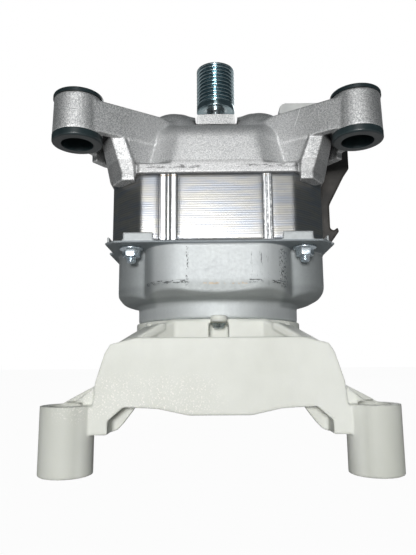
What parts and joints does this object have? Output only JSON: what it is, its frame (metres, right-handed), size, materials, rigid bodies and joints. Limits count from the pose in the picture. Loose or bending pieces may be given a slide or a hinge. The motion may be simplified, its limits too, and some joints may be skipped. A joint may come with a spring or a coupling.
{
  "type": "washing machine motor",
  "caption": "Belt drive washing machine motor with ribbed pulley, cast end shield, two bushed lugs, steel rear cup and plastic mounting bracket.",
  "frame": {"origin": "on the shaft axis, in the middle plane of the belt pulley's ribs", "axes": "+Z along the shaft towards the pulley's free end, -Y towards the two lugs and posts, +X towards the terminals"},
  "size_m": [0.165, 0.1295, 0.232],
  "materials": {
    "cast_aluminium": "blasted",
    "bush_rubber": "satin",
    "core_steel": "ground edges of laminations",
    "zinc_steel": "zinc coated, satin",
    "nut_steel": "blue zinc",
    "white_plastic": "satin",
    "dark_plastic": "matte",
    "grey_plastic": "matte",
    "liner_film": "matte",
    "copper_wire": "varnished",
    "shaft_steel": "ground",
    "pulley_steel": "dark zinc",
    "rotor_steel": "turned",
    "rotor_aluminium": "as cast",
    "bearing_steel": "polished",
    "cage_brass": "satin",
    "spring_steel": "oiled",
    "magnet": "matte",
    "pin_metal": "tinned",
    "lead_sleeve": "satin"
  },
  "bodies": {
    "motor_frame": {"front_endshield": "cast_aluminium", "left_bush": "bush_rubber", "right_bush": "bush_rubber", "stator_core": "core_steel", "slot_liners": "liner_film", "stator_winding": "copper_wire", "thermal_protector": "dark_plastic", "rear_cover": "zinc_steel", "tie_rods": "nut_steel", "flange_nuts": "nut_steel", "mounting_bracket": "white_plastic", "bracket_screws": "nut_steel", "front_outer_ring": "bearing_steel", "front_shields": "spring_steel", "bearing_circlip": "spring_steel", "rear_outer_ring": "bearing_steel", "rear_shields": "spring_steel", "wave_washer": "spring_steel", "tacho_coil": "copper_wire", "tacho_cap": "dark_plastic", "lead_duct": "dark_plastic", "duct_screws": "nut_steel", "connector_housing": "grey_plastic", "connector_pins": "pin_metal", "lead_bundle": "lead_sleeve"},
    "rotor": {"shaft": "shaft_steel", "belt_pulley": "pulley_steel", "rotor_core": "rotor_steel", "rotor_cage": "rotor_aluminium", "front_inner_ring": "bearing_steel", "rear_inner_ring": "bearing_steel", "tacho_magnet": "magnet"},
    "front_cage": {"front_ball_cage": "cage_brass", "front_balls": "bearing_steel"},
    "rear_cage": {"rear_ball_cage": "cage_brass", "rear_balls": "bearing_steel"}
  },
  "joints": [
    {"name": "rotor_spin", "type": "hinge", "parent": "motor_frame", "child": "rotor", "pos_m": [0, 0, -0.0926], "axis": [0, 0, 1], "continuous": true},
    {"name": "front_cage_spin", "type": "hinge", "parent": "motor_frame", "child": "front_cage", "pos_m": [0, 0, -0.047], "axis": [0, 0, 1], "continuous": true},
    {"name": "rear_cage_spin", "type": "hinge", "parent": "motor_frame", "child": "rear_cage", "pos_m": [0, 0, -0.1404], "axis": [0, 0, 1], "continuous": true}
  ],
  "couplings": [
    {"joint": "front_cage_spin", "follows": "rotor_spin", "ratio": 0.38158},
    {"joint": "rear_cage_spin", "follows": "rotor_spin", "ratio": 0.38}
  ]
}
